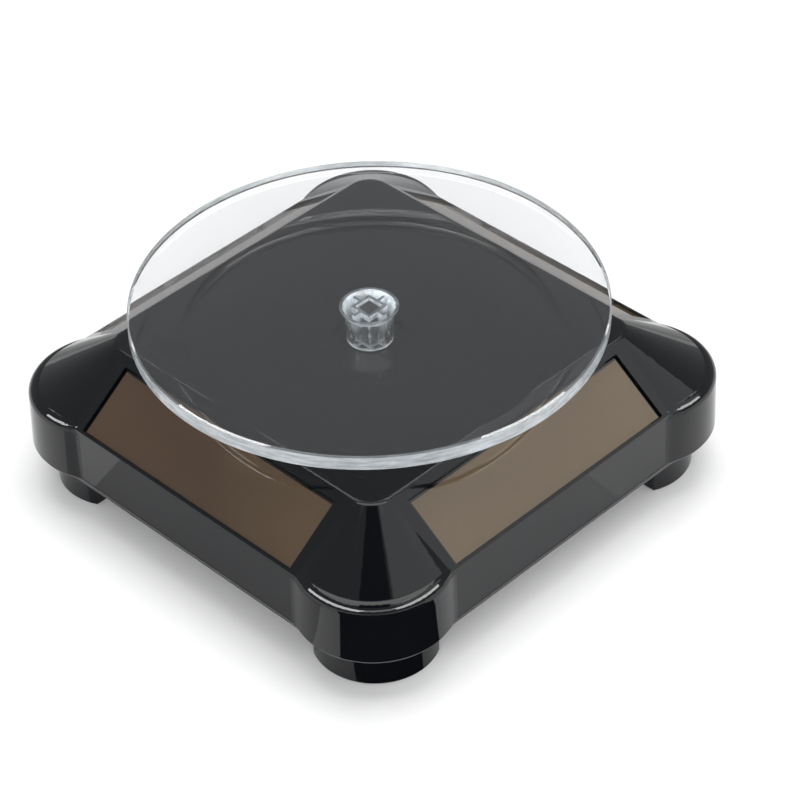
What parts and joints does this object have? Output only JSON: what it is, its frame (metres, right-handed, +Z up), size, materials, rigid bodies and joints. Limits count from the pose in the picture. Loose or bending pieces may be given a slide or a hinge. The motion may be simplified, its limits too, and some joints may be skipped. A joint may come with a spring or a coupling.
{
  "type": "turntable display stand",
  "caption": "Square solar display stand: a clear round plate turned by a hidden geared motor, with a solar panel on each sloping side and rounded corner towers with feet.",
  "frame": {"origin": "on the table top, in the middle of the square body, on the axis that the display plate turns about", "axes": "+Z up, along the plate's axis; the four straight walls face +X, +Y, -X and -Y; the battery door slides towards +X"},
  "size_m": [0.1014, 0.1014, 0.0394],
  "materials": {
    "housing_plastic": "polished moulded black",
    "solar_glass": "polished, dark brown cell behind it",
    "clear_acrylic": "polished clear",
    "clear_moulding": "polished clear",
    "drive_plastic": "moulded black",
    "gear_plastic": "moulded natural white",
    "pinion_brass": "machined",
    "bush_brass": "turned",
    "washer_plastic": "stamped",
    "steel": "ground",
    "screw_steel": "zinc plated",
    "pad_rubber": "matt",
    "can_metal": "plated",
    "battery_jacket": "plain printed jacket",
    "contact_metal": "nickel plated",
    "board_laminate": "lacquered green",
    "capacitor_sleeve": "shrink sleeve",
    "diode_body": "moulded",
    "lead_red": "insulated",
    "lead_black": "insulated"
  },
  "bodies": {
    "base": {"top_housing": "housing_plastic", "bottom_housing": "housing_plastic", "solar_panel_right": "solar_glass", "solar_panel_rear": "solar_glass", "solar_panel_left": "solar_glass", "solar_panel_front": "solar_glass", "foot_pad_front_right": "pad_rubber", "foot_pad_rear_right": "pad_rubber", "foot_pad_rear_left": "pad_rubber", "foot_pad_front_left": "pad_rubber", "upper_bush": "bush_brass", "lower_bush": "bush_brass", "thrust_washer": "washer_plastic", "first_axle": "steel", "second_axle": "steel", "gear_plate": "drive_plastic", "gear_plate_screws": "screw_steel", "housing_screws": "screw_steel", "motor_can": "can_metal", "motor_end_cap": "gear_plastic", "battery": "battery_jacket", "battery_plate": "contact_metal", "battery_spring": "contact_metal", "circuit_board": "board_laminate", "board_screws": "screw_steel", "storage_capacitor": "capacitor_sleeve", "blocking_diode": "diode_body", "panel_lead_right": "lead_red", "panel_lead_rear": "lead_red", "panel_lead_left": "lead_red", "panel_lead_front": "lead_red", "motor_lead": "lead_black", "battery_lead_positive": "lead_red", "battery_lead_negative": "lead_black"},
    "drive": {"output_shaft": "drive_plastic", "output_gear": "gear_plastic"},
    "disc": {"turntable_disc": "clear_acrylic", "disc_hub": "clear_moulding"},
    "second_gear": {"second_gear": "gear_plastic"},
    "first_gear": {"first_gear": "gear_plastic"},
    "rotor": {"motor_shaft": "steel", "motor_pinion": "pinion_brass"},
    "battery_door": {"battery_door": "housing_plastic"}
  },
  "joints": [
    {"name": "turntable_spin", "type": "hinge", "parent": "base", "child": "drive", "pos_m": [0, 0, 0.0174], "axis": [0, 0, 1], "continuous": true},
    {"name": "disc_lift", "type": "slide", "parent": "drive", "child": "disc", "axis": [0, 0, 1], "range_m": [0, 0.0065]},
    {"name": "second_gear_spin", "type": "hinge", "parent": "base", "child": "second_gear", "pos_m": [-0.01353, -0.00493, 0.02], "axis": [0, 0, 1], "continuous": true},
    {"name": "first_gear_spin", "type": "hinge", "parent": "base", "child": "first_gear", "pos_m": [-0.01249, -0.01688, 0.02], "axis": [0, 0, 1], "continuous": true},
    {"name": "motor_spin", "type": "hinge", "parent": "base", "child": "rotor", "pos_m": [-0.00209, -0.02288, 0.02], "axis": [0, 0, 1], "continuous": true},
    {"name": "battery_door_slide", "type": "slide", "parent": "base", "child": "battery_door", "axis": [1, 0, 0], "range_m": [0, 0.007]}
  ],
  "couplings": [
    {"joint": "second_gear_spin", "follows": "turntable_spin", "ratio": -5},
    {"joint": "first_gear_spin", "follows": "turntable_spin", "ratio": 20},
    {"joint": "motor_spin", "follows": "turntable_spin", "ratio": -80}
  ]
}
